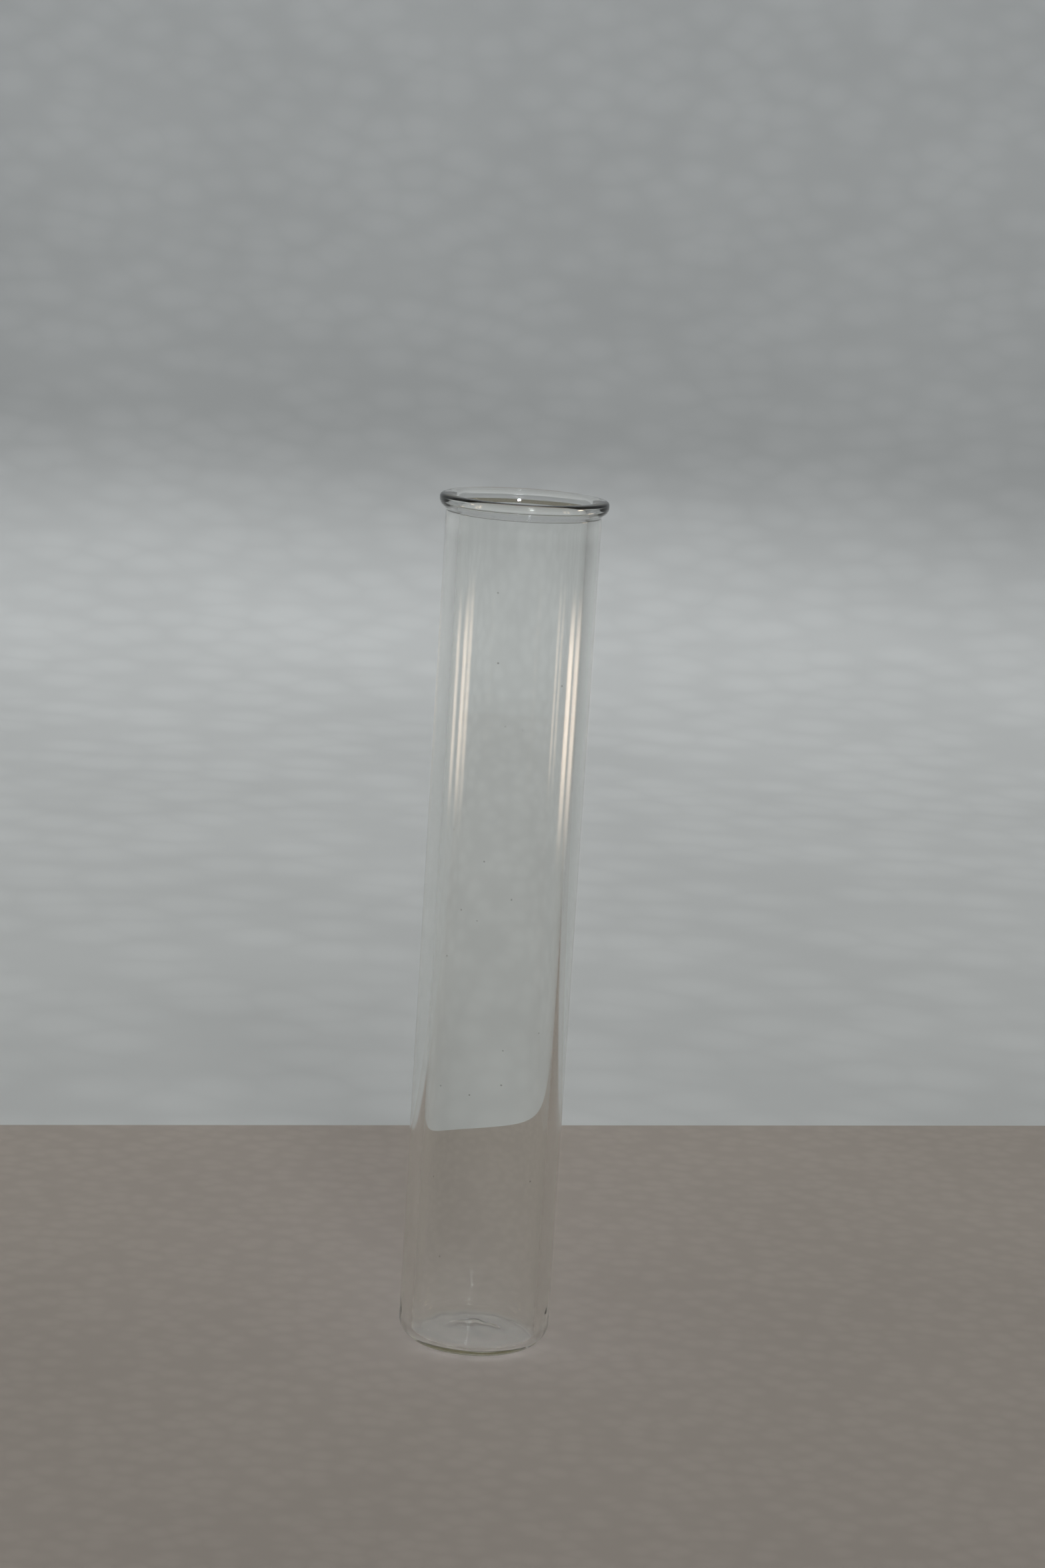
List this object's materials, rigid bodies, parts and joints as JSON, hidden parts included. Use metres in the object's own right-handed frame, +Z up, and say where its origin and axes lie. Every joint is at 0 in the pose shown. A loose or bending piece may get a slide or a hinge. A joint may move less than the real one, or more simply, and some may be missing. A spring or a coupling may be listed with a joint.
{
  "type": "test tube",
  "caption": "Flat-bottomed clear glass test tube with a thick wall and a flared, fire-polished lip; stands by itself.",
  "frame": {"origin": "centre of the flat base, on the plane that the tube stands on", "axes": "+Z up along the tube's axis, from the base to the mouth; X and Y are any two square directions, as the tube is round"},
  "size_m": [0.029, 0.029, 0.15],
  "materials": {
    "clear_glass": "clear, fire-polished and colourless, faintly green through the thick glass of the lip and the base"
  },
  "bodies": {
    "root": {"glass_tube": "clear_glass"}
  },
  "joints": []
}
